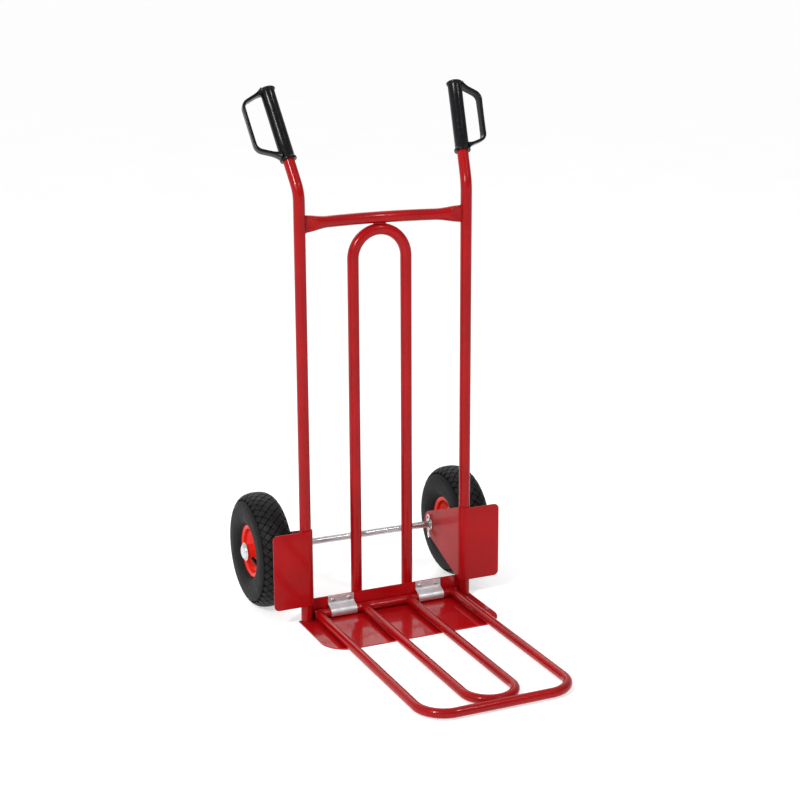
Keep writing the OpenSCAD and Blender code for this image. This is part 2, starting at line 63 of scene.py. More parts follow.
hoop_lo, hoop_hi = span("centre_hoop")
upright_lo, _ = span("right_upright")
bracket_lo, bracket_hi = span("right_wheel_bracket")
toe_lo, toe_hi = span("toe_plate")
axle_lo, axle_hi = span("axle")
tyre_lo, tyre_hi = span("right_tyre")
hub_lo, hub_hi = span("right_hub")
cap_lo, cap_hi = span("right_hub_cap")
spacer_lo, spacer_hi = span("right_axle_spacer")
pin_lo, pin_hi = span("right_split_pin")
clip_lo, clip_hi = span("right_hinge_clip")
bar_lo, bar_hi = span("extension_rear_bar")
outer_lo, _ = span("extension_outer_loop")
inner_lo, inner_hi = span("extension_inner_loop")
cross_lo, cross_hi = span("crossbar")
rivet_lo, rivet_hi = span("clip_rivets")

TUBE_R = (hoop_hi.y - hoop_lo.y) / 2
HOOP_Y = (hoop_lo.y + hoop_hi.y) / 2
HOOP_HALF = hoop_hi.x - TUBE_R
HOOP_TOP = hoop_hi.z - TUBE_R
UPRIGHT_X = upright_lo.x + TUBE_R
CROSS_Z = (cross_lo.z + cross_hi.z) / 2
CROSS_END_H = cross_hi.z - cross_lo.z
AXLE_R = (axle_hi.z - axle_lo.z) / 2
AXLE_Y = (axle_lo.y + axle_hi.y) / 2
AXLE_Z = (axle_lo.z + axle_hi.z) / 2
WHEEL_X = (tyre_lo.x + tyre_hi.x) / 2
TYRE_R = (tyre_hi.z - tyre_lo.z) / 2
TYRE_HALF = (tyre_hi.x - tyre_lo.x) / 2
HUB_HALF = (hub_hi.x - hub_lo.x) / 2
FLANGE_END_R = bracket_hi.y - AXLE_Y
PIN_X = (pin_lo.x + pin_hi.x) / 2
CAP_R = (cap_hi.z - cap_lo.z) / 2
CAP_H = cap_hi.x - cap_lo.x
CLIP_X = (clip_lo.x + clip_hi.x) / 2
RIVET_Z = (rivet_lo.z + rivet_hi.z) / 2
EXT_R = (bar_hi.z - bar_lo.z) / 2
EXT_Y = (bar_lo.y + bar_hi.y) / 2
EXT_Z = (bar_lo.z + bar_hi.z) / 2
EXT_HALF = bar_hi.x
EXT_SIDE = EXT_HALF - EXT_R
EXT_FRONT = outer_lo.y + EXT_R
INNER_HALF = inner_hi.x - EXT_R
INNER_FRONT = inner_lo.y + EXT_R

# -------- sizes that no box gives, as in the CAD

TUBE_WALL = 1.5
SHEET = 3.0
GAP = 0.1  # between parts that the CAD seats on each other
CROSS_END_T = 6.0
CROSS_END_L = 52.0
BEND_Z = 931.0
BEND_R = 75.0
LEAN = 29.5
HANDLE_TURN = 12.5
HANDLE_BARE = 52.0
GUARD_CORNER_R = 11.0
TOE_CORNER_R = 58.0
FOLD_R = 6.0
EXT_CORNER_R = 60.0
GRIP_L = 164.0
GRIP_R = 15.5
COLLAR_R = 18.0
COLLAR_T = 6.0
STRAP_REACH = 63.0
STRAP_W = 20.0
STRAP_T = 7.0
STRAP_TURN = 19.0
RIM_R = 59.0
RIM_HALF = 27.0
RIM_T = 2.0
HUB_R = AXLE_R + 7.5
BOLT_CIRCLE_R = 30.0
RIVET_STEP = 19.0
VALVE_LEAN = 57.0
VALVE_HOLE_R = 6.5
BEAD_DEPTH = 7.0
CLIP_T = 2.0

# Sizes of details that only the looks have
CROSS_FLAT_L = 24.0
LIP = 0.3
SHEET_EDGE = 0.6
WELD_PITCH = 2.6

# -------- shapes


def eased(t):
    """0 to 1 with level ends."""
    return t * t * (3 - 2 * t)


def arc(centre, start, axis, degrees, steps):
    """Points on a circle round centre, from start on, turning by degrees round axis."""
    offset = start - centre
    return [
        centre + Matrix.Rotation(math.radians(degrees * i / steps), 3, axis) @ offset
        for i in range(steps + 1)
    ]


def straight(a, b, steps):
    """Points from a to b, without b."""
    return [a.lerp(b, i / steps) for i in range(steps)]


def rounded(before, corner, after, reach_in, reach_out, steps):
    """Curve that replaces a corner, from reach_in before it to reach_out past it."""
    start = corner + (before - corner).normalized() * reach_in
    end = corner + (after - corner).normalized() * reach_out
    out = []
    for i in range(steps + 1):
        t = i / steps
        out.append(start * (1 - t) ** 2 + corner * 2 * t * (1 - t) + end * t * t)
    return out


def blended(points, reach, steps=8):
    """A path whose inner corners are curves that start reach before each corner."""
    out = [points[0]]
    for before, corner, after in zip(points, points[1:], points[2:]):
        out += rounded(before, corner, after, reach, reach, steps)
    return out + [points[-1]]


def round_section(radius, sides=40):
    """Points of a circle, or of any regular outline with few sides."""
    return [
        (radius * math.cos(math.tau * i / sides), radius * math.sin(math.tau * i / sides))
        for i in range(sides)
    ]


def oval_section(a, b, power, sides=40):
    """Superellipse with half-sizes a and b; power 2 is an ellipse and more is squarer."""
    out = []
    for i in range(sides):
        c, s = math.cos(math.tau * i / sides), math.sin(math.tau * i / sides)
        out.append(
            (
                a * math.copysign(abs(c) ** (2 / power), c),
                b * math.copysign(abs(s) ** (2 / power), s),
            )
        )
    return out


def loft(rings, caps=(True, True), loop=False):
    """Joins rings of equally many points into a skin, with its ends capped or as a loop."""
    n = len(rings[0])
    verts = [p for ring in rings for p in ring]
    faces = []
    for i in range(len(rings) if loop else len(rings) - 1):
        a, b = i * n, (i + 1) % len(rings) * n
        for j in range(n):
            k = (j + 1) % n
            faces.append((a + j, a + k, b + k, b + j))
    if caps[0] and not loop:
        faces.append(tuple(reversed(range(n))))
    if caps[1] and not loop:
        faces.append(tuple(range(len(verts) - n, len(verts))))
    return verts, faces


def carried(path, up, loop=False):
    """Each point of a path with its direction and two cross directions, carried without twist."""
    out = []
    cross = None
    last = len(path) - 1
    for i, p in enumerate(path):
        if loop:
            tangent = (path[(i + 1) % (last + 1)] - path[i - 1]).normalized()
        else:
            tangent = (path[min(i + 1, last)] - path[max(i - 1, 0)]).normalized()
        cross = up.cross(tangent) if cross is None else cross - tangent * cross.dot(tangent)
        cross.normalize()
        out.append((p, tangent, cross.copy(), tangent.cross(cross)))
    return out


def sweep(path, sections, up=Y, loop=False):
    """A skin along path. sections is one outline for all points, or one for each."""
    rings = []
    for i, (p, _, u, v) in enumerate(carried(path, up, loop)):
        outline = sections[i] if isinstance(sections[0], list) else sections
        rings.append([p + u * a + v * b for a, b in outline])
    return loft(rings, loop=loop)


def pipe(path, radius, up=Y, open_ends=(True, True), depth=18.0, sides=40):
    """A tube along path. An open end shows its wall, and is hollow for depth."""
    stations = carried(path, up)
    bore = radius - TUBE_WALL
    rings = []

    def ring(p, u, v, r):
        return [p + u * a + v * b for a, b in round_section(r, sides)]

    p, t, u, v = stations[0]
    if open_ends[0]:
        rings += [ring(p + t * depth, u, v, bore), ring(p, u, v, bore)]
    rings += [ring(p, u, v, radius - LIP), ring(p + t * LIP, u, v, radius)]
    rings += [ring(p, u, v, radius) for p, _, u, v in stations[1:-1]]
    p, t, u, v = stations[-1]
    rings += [ring(p - t * LIP, u, v, radius), ring(p, u, v, radius - LIP)]
    if open_ends[1]:
        rings += [ring(p, u, v, bore), ring(p - t * depth, u, v, bore)]
    return loft(rings)


def lathe(profile, steps=96, loop=False):
    """Turns (radius, height) points round the z axis. With loop the profile closes on itself."""
    rings = [[Vector((x, y, h)) for x, y in round_section(r, steps)] for r, h in profile]
    return loft(rings, loop=loop)


def softened(profile, reach, steps=3, loop=False):
    """A (radius, height) profile with small rounds at its corners."""
    points = [Vector((r, h)) for r, h in profile]
    n = len(points)
    out = [] if loop else [points[0]]
    for i in range(0 if loop else 1, n if loop else n - 1):
        before, corner, after = points[i - 1], points[i], points[(i + 1) % n]
        reach_in = min(reach, (before - corner).length * 0.45)
        reach_out = min(reach, (after - corner).length * 0.45)
        out += rounded(before, corner, after, reach_in, reach_out, steps)
    if not loop:
        out.append(points[-1])
    return [(p.x, p.y) for p in out]


def both_sides(line, distance, mitred=True):
    """Two lines beside a 2D line, at distance. With mitred they keep it at a bend."""
    left, right = [], []
    last = len(line) - 1
    for i, p in enumerate(line):
        before = (p - line[i - 1]).normalized() if i else None
        after = (line[i + 1] - p).normalized() if i < last else None
        tangent = ((before or after) + (after or before)).normalized()
        stretch = 1 / max(tangent.dot(after or before), 0.5) if mitred else 1
        normal = Vector((-tangent.y, tangent.x)) * distance * stretch
        left.append(p + normal)
        right.append(p - normal)
    return left, right


def folded_sheet(path, low, high, thickness, place):
    """A sheet that follows path, 2D points, and reaches across it from low[i] to high[i].

    place turns a 2D point and a distance across into a 3D point.
    """
    left, right = both_sides(path, thickness / 2)
    rings = [
        [place(a, start), place(a, end), place(b, end), place(b, start)]
        for a, b, start, end in zip(left, right, low, high)
    ]
    return loft(rings)


def placed(part, matrix):
    """A part, which is (points, faces), moved by matrix."""
    verts, faces = part
    return [matrix @ v for v in verts], faces


def joined(parts):
    """Several parts as one."""
    verts, faces = [], []
    for part_verts, part_faces in parts:
        base = len(verts)
        verts += part_verts
        faces += [tuple(base + i for i in face) for face in part_faces]
    return verts, faces


def turned(axis, degrees):
    """Matrix that turns by degrees round axis."""
    return Matrix.Rotation(math.radians(degrees), 4, axis)


def basis(origin, z_axis, x_axis):
    """Matrix that puts local z along z_axis and local x as near x_axis as it can."""
    z = z_axis.normalized()
    x = (x_axis - z * x_axis.dot(z)).normalized()
    y = z.cross(x)
    return Matrix(
        (
            (x.x, y.x, z.x, origin.x),
            (x.y, y.y, z.y, origin.y),
            (x.z, y.z, z.z, origin.z),
            (0, 0, 0, 1),
        )
    )


def bead(path, radius, loop=False):
    """A weld bead: a thick line with the small waves that the weld pool leaves."""
    step, wave_height, sides = 0.65, 0.16, 10
    end_size, taper = 0.45, 3  # an open bead's ends, and the number of steps to full size
    dense = []
    count = len(path) if loop else len(path) - 1
    for i in range(count):
        a, b = path[i], path[(i + 1) % len(path)]
        dense += straight(a, b, max(1, round((b - a).length / step)))
    if not loop:
        dense.append(path[-1])
    travelled, sections = 0.0, []
    for i, p in enumerate(dense):
        travelled += (p - dense[i - 1]).length if i else 0.0
        wave = 1 + wave_height * math.sin(math.tau * travelled / WELD_PITCH)
        if not loop:
            ends = min(i, len(dense) - 1 - i) / taper
            wave *= min(1.0, end_size + (1 - end_size) * ends)
        sections.append(round_section(radius * wave, sides))
    first = (dense[1] - dense[0]).normalized()
    up = Z if abs(first.z) < 0.9 else X
    return sweep(dense, sections, up, loop=loop)


# -------- materials


class Nodes:
    """A material's node tree with a few short ways to add to it."""

    def __init__(self, name):
        self.material = bpy.data.materials.new(name)
        self.material.use_nodes = True
        self.tree = self.material.node_tree
        self.shader = self.tree.nodes["Principled BSDF"]
        self.where = self.tree.nodes.new("ShaderNodeTexCoord").outputs["Object"]

    def feed(self, socket, value):
        """Links value to socket if it comes from a node, and sets it if it is a constant."""
        if isinstance(value, bpy.types.NodeSocket):
            self.tree.links.new(value, socket)
        else:
            socket.default_value = value

    def add(self, kind, inputs, **settings):
        node = self.tree.nodes.new(kind)
        for key, value in settings.items():
            setattr(node, key, value)
        for key, value in inputs.items():
            self.feed(node.inputs[key], value)
        return node

    def scaled(self, scale):
        return self.add("ShaderNodeMapping", {"Vector": self.where, "Scale": scale}).outputs[0]

    def noise(self, scale, detail=4.0, roughness=0.5, stretch=(1, 1, 1)):
        """Noise with scale features to the metre."""
        inputs = {"Scale": scale, "Detail": detail, "Roughness": roughness}
        node = self.add("ShaderNodeTexNoise", {"Vector": self.scaled(stretch), **inputs})
        return node.outputs["Fac"]

    def cells(self, scale):
        node = self.add("ShaderNodeTexVoronoi", {"Vector": self.where, "Scale": scale})
        return node.outputs["Distance"]

    def remap(self, value, old, new):
        """Takes the range old, (start, end), to the range new."""
        names = ("From Min", "From Max", "To Min", "To Max")
        node = self.add("ShaderNodeMapRange", {"Value": value, **dict(zip(names, old + new))})
        return node.outputs["Result"]

    def mix(self, factor, a, b):
        factor_in, a_in, b_in, colour_out = 0, 6, 7, 2  # the sockets that RGBA uses
        node = self.add("ShaderNodeMix", {}, data_type="RGBA")
        for index, value in ((factor_in, factor), (a_in, a), (b_in, b)):
            self.feed(node.inputs[index], value)
        return node.outputs[colour_out]

    def maths(self, operation, a, b):
        return self.add("ShaderNodeMath", {0: a, 1: b}, operation=operation).outputs[0]

    def bump(self, height, distance, strength, below=None):
        inputs = {"Height": height, "Distance": distance, "Strength": strength}
        if below is not None:
            inputs["Normal"] = below
        return self.add("ShaderNodeBump", inputs).outputs["Normal"]

    def finish(self, **inputs):
        for key, value in inputs.items():
            self.feed(self.shader.inputs[key.replace("_", " ")], value)
        return self.material


def rgb(red, green, blue):
    """An sRGB colour, 0 to 255, as the linear one that a shader takes."""
    return tuple(
        c / 12.92 if c <= 0.04045 else ((c + 0.055) / 1.055) ** 2.4
        for c in (red / 255, green / 255, blue / 255)
    ) + (1.0,)


def paint(name, colour, deep, rough, coat):
    """Sprayed gloss paint: slight flow waves, fine peel, thin dust in broad patches."""
    n = Nodes(name)
    broad = n.noise(9, 3)
    fine = n.noise(420, 2)
    peel = n.noise(1500, 2)
    flow = n.noise(70, 3)
    scratch = n.noise(160, 2, 0.6, (1, 1, 9))
    marks = n.remap(scratch, (0.70, 0.78), (0, 1))
    tone = n.mix(n.remap(broad, (0.3, 0.7), (0, 1)), colour, deep)
    tone = n.mix(n.remap(fine, (0.55, 0.8), (0, 0.10)), tone, deep)
    wet = n.remap(broad, (0.3, 0.7), (rough - 0.04, rough + 0.05))
    wet = n.maths("ADD", wet, n.maths("MULTIPLY", marks, 0.12))
    skin = n.bump(flow, 0.0005, 0.35)
    skin = n.bump(peel, 0.00006, 0.5, skin)
    return n.finish(
        Base_Color=tone,
        Roughness=wet,
        Normal=skin,
        Specular_IOR_Level=0.10,
        Coat_Weight=coat,
        Coat_Roughness=0.05,
    )


def zinc(name, colour, rough, brushed=(1, 1, 1)):
    """Bright zinc plating: faint spangle, cloudy patches and fine drawing lines."""
    n = Nodes(name)
    cloud = n.noise(60, 4)
    spangle = n.cells(350)
    lines = n.noise(900, 2, 0.5, brushed)
    dark = tuple(c * 0.72 for c in colour[:3]) + (1.0,)
    tone = n.mix(n.remap(cloud, (0.35, 0.7), (0, 0.7)), colour, dark)
    tone = n.mix(n.remap(spangle, (0.0, 0.9), (0, 0.25)), tone, dark)
    haze = n.remap(cloud, (0.3, 0.7), (rough - 0.07, rough + 0.10))
    skin = n.bump(lines, 0.00008, 0.5)
    skin = n.bump(cloud, 0.0002, 0.3, skin)
    return n.finish(Base_Color=tone, Metallic=1.0, Roughness=haze, Normal=skin)


def rubber(name, colour, rough, grain=2200, dusty=0.35):
    """Tyre rubber: matt, finely grained, a little grey with dust in broad patches."""
    n = Nodes(name)
    grains = n.noise(grain, 3)
    patches = n.noise(38, 4, 0.6)
    dust = (0.115, 0.108, 0.098, 1.0)
    tone = n.mix(n.remap(patches, (0.45, 0.75), (0, dusty)), colour, dust)
    tone = n.mix(n.remap(grains, (0.55, 0.8), (0, 0.15)), tone, dust)
    haze = n.remap(patches, (0.3, 0.7), (rough - 0.08, rough + 0.10))
    skin = n.bump(grains, 0.00012, 0.6)
    skin = n.bump(patches, 0.0006, 0.3, skin)
    return n.finish(Base_Color=tone, Roughness=haze, Normal=skin, Specular_IOR_Level=0.13)


def plastic(name, colour, rough):
    """Smooth moulded plastic: faint flow marks, rubbed spots and a very fine grain."""
    n = Nodes(name)
    flow = n.noise(45, 3, 0.5, (1, 1, 0.35))
    grain = n.noise(2600, 2)
    rubbed = n.noise(120, 3)
    pale = tuple(c + 0.003 for c in colour[:3]) + (1.0,)
    tone = n.mix(n.remap(rubbed, (0.5, 0.75), (0, 0.6)), colour, pale)
    haze = n.remap(rubbed, (0.35, 0.7), (rough - 0.05, rough + 0.09))
    skin = n.bump(flow, 0.0003, 0.25)
    skin = n.bump(grain, 0.00004, 0.5, skin)
    return n.finish(Base_Color=tone, Roughness=haze, Normal=skin, Specular_IOR_Level=0.22)


RED = paint("red_gloss_paint", rgb(158, 7, 12), rgb(138, 5, 9), 0.24, 0.20)
PLATE_RED = paint("red_plate_paint", rgb(172, 11, 17), rgb(154, 8, 13), 0.22, 0.75)
SHEET_RED = paint("red_sheet_paint", rgb(163, 10, 14), rgb(146, 8, 12), 0.36, 0.12)
# Weld beads: real beads, painted a darker red than the frame as painted shade in the joints between
# parts
WELD_SHADED_RED = paint("red_weld_paint_with_painted_shade", rgb(140, 8, 13), rgb(104, 6, 10), 0.38, 0.15)
RIM_RED = paint("rim_orange_red_paint", rgb(228, 44, 30), rgb(210, 34, 24), 0.32, 0.2)
BRIGHT = zinc("bright_zinc", (0.72, 0.73, 0.75, 1), 0.28)
CLIP_ZINC = zinc("clip_zinc", (0.84, 0.85, 0.87, 1), 0.48, (0.15, 1, 1))
ROD_ZINC = zinc("drawn_zinc", (0.62, 0.62, 0.63, 1), 0.30, (0.05, 1, 1))
BEARING = zinc("ground_steel", (0.52, 0.52, 0.50, 1), 0.24)
BLACK = plastic("black_plastic", (0.0014, 0.0014, 0.0026, 1), 0.22)
TYRE = rubber("tyre_rubber", (0.0055, 0.0055, 0.006, 1), 0.60, 2200, 0.06)
TREAD = rubber("tread_rubber", (0.0085, 0.0080, 0.0085, 1), 0.50, 2600, 0.10)
SOFT = rubber("inner_rubber", (0.018, 0.018, 0.019, 1), 0.55)

# -------- making pieces


def linked(name, part, material, side):
    """An object with the shape of part, (points in mm, faces), mirrored if side is -1."""
    verts, faces = part
    mesh = bpy.data.meshes.new(name)
    mesh.from_pydata([(v.x * side * MM, v.y * MM, v.z * MM) for v in verts], [], faces)
    if side < 0:
        mesh.flip_normals()
    mesh.materials.append(material)
    mesh.validate()
    obj = bpy.data.objects.new(name, mesh)
    bpy.context.scene.collection.objects.link(obj)
    return obj


def cut_out(obj, drill):
    """Takes drill, another object, out of obj's mesh, and removes it."""
    cut = obj.modifiers.new("drill", "BOOLEAN")
    cut.operation = "DIFFERENCE"
    cut.solver = "EXACT"
    cut.object = drill
    graph = bpy.context.evaluated_depsgraph_get()
    mesh = bpy.data.meshes.new_from_object(obj.evaluated_get(graph))
    obj.modifiers.remove(cut)
    obj.data = mesh
    bpy.data.objects.remove(drill)


def piece(name, part, material, body, slot, nodes=(), side=1, bevel=0.0, sharp=38, drill=None):
    """Makes a piece from part, rides it on body and lets it stand in for CAD nodes.

    bevel rounds hard edges by that many millimetres, and drill is a part to take away.
    """
    obj = linked(name, part, material, side)
    if drill:
        cut_out(obj, linked("drill", drill, material, side))
    for polygon in obj.data.polygons:
        polygon.use_smooth = True
    obj.data.set_sharp_from_angle(angle=math.radians(sharp))
    if bevel:
        soften = obj.modifiers.new("edges", "BEVEL")
        soften.width = bevel * MM
        soften.segments = 3
        soften.limit_method = "ANGLE"
        soften.angle_limit = math.radians(sharp)
        soften.harden_normals = True
    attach(obj, body)
    if nodes:
        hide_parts(*nodes)


def on_axle(x):
    """Local z outwards along the axle from x, and local x down."""
    return basis(Vector((x, AXLE_Y, AXLE_Z)), X, -Z)


# -------- frame

azimuth = math.radians(90 - HANDLE_TURN)
rearward = Vector((math.cos(azimuth), math.sin(azimuth), 0))
lean = math.radians(LEAN)
handle_dir = rearward * math.sin(lean) + Z * math.cos(lean)
handle_rear = rearward * math.cos(lean) - Z * math.sin(lean)
bend_start = Vector((UPRIGHT_X, 0, BEND_Z))
bend_centre = bend_start + rearward * BEND_R
bend_axis = Z.cross(rearward).normalized()
bend = arc(bend_centre, bend_start, bend_axis, LEAN, 14)
grip_base = bend[-1] + handle_dir * HANDLE_BARE
tube_end = grip_base + handle_dir * (GRIP_L - COLLAR_T - 2 * GAP)
HANDLE = basis(grip_base, handle_dir, handle_rear)

foot = Vector((UPRIGHT_X, 0, upright_lo.z))
upright_path = straight(foot, bend_start, 24) + bend + [tube_end]
for word, side in SIDES:
    piece(
        f"{word}_upright_tube", pipe(upright_path, TUBE_R, X, (True, False)), RED,
        "frame", "red_paint", [f"{word}_upright"], side,
    )


def crossbar_part():
    """Bowed tube that grows taller towards both ends, and is pressed flat and hollow there."""
    half = UPRIGHT_X - TUBE_R - GAP
    bow_r = (half * half + HOOP_Y * HOOP_Y) / (2 * HOOP_Y)
    limit = math.asin(half / bow_r)
    rings = []
    steps = 180
    for i in range(steps + 1):
        a = limit * (2 * i / steps - 1)
        x, y = bow_r * math.sin(a), HOOP_Y - bow_r + bow_r * math.cos(a)
        t = min(1.0, (half - abs(x)) / CROSS_END_L)
        tall = CROSS_END_H / 2 + (TUBE_R - CROSS_END_H / 2) * (0.35 * t + 0.65 * eased(t))
        near = min(1.0, (half - abs(x)) / CROSS_FLAT_L)
        thick = CROSS_END_T / 2 + (TUBE_R - CROSS_END_T / 2) * eased(near)
        across = Vector((math.sin(a) * t, math.cos(a) * t + 1 - t, 0)).normalized()
        waist = 0.80 * (1 - near) ** 0.6 * min(1.0, 4 * near + 0.25)
        ring = []
        for u, v in oval_section(thick, tall, 2 + 0.7 * (1 - t), 48):
            u *= 1 - waist * (1 - (v / tall) ** 2) ** 1.5
            ring.append(Vector((x, y, CROSS_Z + v)) + across * u)
        rings.append(ring)
    return loft(rings)


piece("crossbar_tube", crossbar_part(), RED, "frame", "red_paint", ["crossbar"])

hoop_arc_centre = Vector((0, HOOP_Y, HOOP_TOP - HOOP_HALF))
hoop_foot = Vector((HOOP_HALF, HOOP_Y, hoop_lo.z))
hoop_path = straight(hoop_foot, hoop_foot + Z * (hoop_arc_centre.z - hoop_lo.z), 20)
hoop_path += arc(hoop_arc_centre, hoop_arc_centre + X * HOOP_HALF, -Y, 180, 40)
hoop_path += straight(hoop_path[-1], hoop_foot - X * 2 * HOOP_HALF, 20)[1:]
hoop_path.append(hoop_foot - X * 2 * HOOP_HALF)
hoop_tube = pipe(hoop_path, TUBE_R, X)
piece("centre_hoop_tube", hoop_tube, RED, "frame", "red_paint", ["centre_hoop"])


def toe_part():
    """Plate, fold and upstand as one folded sheet: path in (y, z), reaching across in x."""
    mid = SHEET / 2
    fold_y = toe_hi.y - FOLD_R
    half = toe_hi.x
    narrow = UPRIGHT_X + 2.0
    path, reach = [], []
    corner_steps, fold_steps = 16, 8
    for i in range(corner_steps + 1):
        a = math.radians(90 * i / corner_steps)
        path.append(Vector((toe_lo.y + TOE_CORNER_R * (1 - math.cos(a)), mid)))
        reach.append(half - TOE_CORNER_R * (1 - math.sin(a)))
    path[0].x += 0.15  # a little back from the CAD's edge
    path.append(Vector((fold_y - 0.02, mid)))  # the step in width comes just before the fold
    reach.append(half)
    for i in range(fold_steps + 1):
        a = math.radians(90 * i / fold_steps)
        r = FOLD_R - mid
        path.append(Vector((fold_y + r * math.sin(a), FOLD_R - r * math.cos(a))))
        reach.append(narrow)
    path.append(Vector((toe_hi.y - mid, toe_hi.z)))
    reach.append(narrow)
    return folded_sheet(
        path, [-r for r in reach], reach, SHEET, lambda p, across: Vector((across, p.x, p.y))
    )


piece(
    "toe_plate_sheet", toe_part(), PLATE_RED, "frame", "red_paint", ["toe_plate"],
    bevel=SHEET_EDGE, sharp=50,
)


def bracket_part():
    """Guard plate, quarter bend round the upright, and flange out to the axle."""
    inner = TUBE_R + GAP + SHEET / 2
    bottom, top = bracket_lo.z, bracket_hi.z
    path, low, high = [], [], []
    corner_steps, bend_steps, end_steps = 10, 12, 20
    for i in range(corner_steps + 1):
        a = math.radians(90 * i / corner_steps)
        rise = GUARD_CORNER_R * (1 - math.sin(a))
        path.append(Vector((bracket_hi.x - GUARD_CORNER_R * (1 - math.cos(a)), -inner)))
        low.append(bottom + rise)
        high.append(top - rise)
    for i in range(bend_steps + 1):
        a = math.radians(90 * i / bend_steps)
        path.append(Vector((UPRIGHT_X - inner * math.sin(a), -inner * math.cos(a))))
        low.append(bottom)
        high.append(top)
    edges = []  # for each straight edge, the y where it touches the rounded end, and its slope
    for end_z in (bottom, top):
        away = math.hypot(AXLE_Y, AXLE_Z - end_z)
        tilt = math.atan2(AXLE_Z - end_z, AXLE_Y)
        swing = math.asin(FLANGE_END_R / away) * (-1 if end_z < AXLE_Z else 1)
        reach = math.sqrt(away * away - FLANGE_END_R**2)
        edges.append((reach * math.cos(tilt + swing), math.tan(tilt + swing)))
    (low_touch, low_slope), (high_touch, high_slope) = edges
    ys = [8.0 * i for i in range(1, 17)]
    start, end = ys[-1], AXLE_Y + FLANGE_END_R - 0.4
    ys += [
        start + (end - start) * math.sin(math.radians(90 * i / end_steps))
        for i in range(1, end_steps + 1)
    ]
    for y in ys:
        path.append(Vector((UPRIGHT_X - inner, y)))
        bulge = math.sqrt(max(FLANGE_END_R**2 - (y - AXLE_Y) ** 2, 0.0))
        low.append(bottom + y * low_slope if y < low_touch else AXLE_Z - bulge)
        high.append(top + y * high_slope if y < high_touch else AXLE_Z + bulge)
    return folded_sheet(path, low, high, SHEET, lambda p, across: Vector((p.x, p.y, across)))


for word, side in SIDES:
    piece(
        f"{word}_guard_sheet", bracket_part(), SHEET_RED, "frame", "red_paint",
        [f"{word}_wheel_bracket"], side, bevel=SHEET_EDGE, sharp=50,
    )

# -------- axle

axle_profile = softened(
    [(0.5, axle_lo.x), (AXLE_R, axle_lo.x), (AXLE_R, axle_hi.x), (0.5, axle_hi.x)], 0.8
)
piece(
    "axle_rod", placed(lathe(axle_profile, 48), on_axle(0)), ROD_ZINC, "frame", "zinc_plate",
    ["axle"],
)


def ring_profile(inner, outer, low, high, soft=0.5):
    """Closed (radius, height) outline of a washer, sleeve or race, with soft corners."""
    return softened([(inner, low), (outer, low), (outer, high), (inner, high)], soft, loop=True)


def split_pin_part():
    """Cotter pin: an eye above the axle and two legs, bent apart below it."""
    wire = round_section(1.6, 14)
    eye_r = 6.0
    leg_apart = 0.9
    above, below = AXLE_Z + AXLE_R, AXLE_Z - AXLE_R
    parts = []
    for way, drop, out in ((-1, 17.0, 17.0), (1, 23.0, 9.0)):
        leg_y = AXLE_Y + way * leg_apart
        leg = [
            Vector((PIN_X, leg_y, above + 2.0)),
            Vector((PIN_X, leg_y, below - 2.0)),
            Vector((PIN_X - 2.0, leg_y - out * 0.45, below - 2.0 - drop * 0.5)),
            Vector((PIN_X - 3.0, AXLE_Y - out, below - drop)),
        ]
        parts.append(sweep(blended(leg, 3.0), wire, X))
    eye_centre = Vector((PIN_X, AXLE_Y, above + 2.0 + eye_r))
    eye = arc(eye_centre, eye_centre - Z * eye_r + Y * leg_apart, X, 345, 36)
    parts.append(sweep(eye, wire, X))
    return joined(parts)


def cap_profile():
    """Hub cap: a short rim that steps in to a dome."""
    rim_h, dome_base, step_in, top_r = 1.6, 2.9, 3.2, 0.4
    dome_r = CAP_R - step_in
    profile = [
        (AXLE_R + 0.3, 0.3), (CAP_R - 0.4, 0.0), (CAP_R, 0.5), (CAP_R, rim_h), (CAP_R - 1.0, 2.3),
        (dome_r, dome_base),
    ]
    for i in range(1, 15):
        a = math.radians(90 * i / 14)
        r = dome_r * math.cos(a) + top_r * math.sin(a)
        profile.append((r, dome_base + (CAP_H - dome_base) * math.sin(a)))
    return profile


WASHER_T = 2.0
WASHER_BAND = 7.0
SPACER_WALL = 3.0

for word, side in SIDES:
    def axle_piece(name, part, nodes):
        piece(f"{word}_{name}", part, BRIGHT, "frame", "zinc_plate", nodes, side)

    band = ring_profile(AXLE_R + GAP, AXLE_R + WASHER_BAND, 0, WASHER_T)
    washer = placed(lathe(band, 64, True), on_axle(bracket_lo.x - WASHER_T - GAP))
    axle_piece("axle_washer", washer, ["axle_washers"] if side > 0 else ())
    wall = ring_profile(AXLE_R + GAP, AXLE_R + SPACER_WALL, 0, spacer_hi.x - spacer_lo.x)
    spacer = placed(lathe(wall, 64, True), on_axle(spacer_lo.x))
    axle_piece("spacer_tube", spacer, [f"{word}_axle_spacer"])
    axle_piece("cotter", split_pin_part(), [f"{word}_split_pin"])
    cap = placed(lathe(cap_profile(), 72), on_axle(cap_lo.x))
    axle_piece("cap_dome", cap, [f"{word}_hub_cap"])

# -------- wheels

SECTION_R = (TYRE_R + RIM_R - BEAD_DEPTH) / 2
SECTION_H = (TYRE_R - RIM_R + BEAD_DEPTH) / 2
TREAD_DEPTH = 5.0
TREAD_POWER = 2.5
TREAD_EDGE = 52.0  # degrees round the section from the crown
SHOULDER = 10.0


def tyre_point(angle, theta, lift):
    """A point of the tyre: angle round its section from the crown, theta round the axle."""
    c, s = math.cos(angle), math.sin(angle)
    h = math.copysign(abs(c) ** (2 / TREAD_POWER), c)
    w = math.copysign(abs(s) ** (2 / TREAD_POWER), s)
    r = SECTION_R + (SECTION_H + lift) * h
    return Vector((r * math.cos(theta), r * math.sin(theta), (TYRE_HALF + lift) * w))


def tread_angles():
    """Table of (distance along the tread from the crown, section angle)."""
    table = [(0.0, 0.0)]
    before = tyre_point(0, 0, 0)
    for i in range(1, 1801):
        a = math.radians(i / 20)
        p = tyre_point(a, 0, 0)
        table.append((table[-1][0] + (p - before).length, a))
        before = p
    return table


TREAD_TABLE = tread_angles()


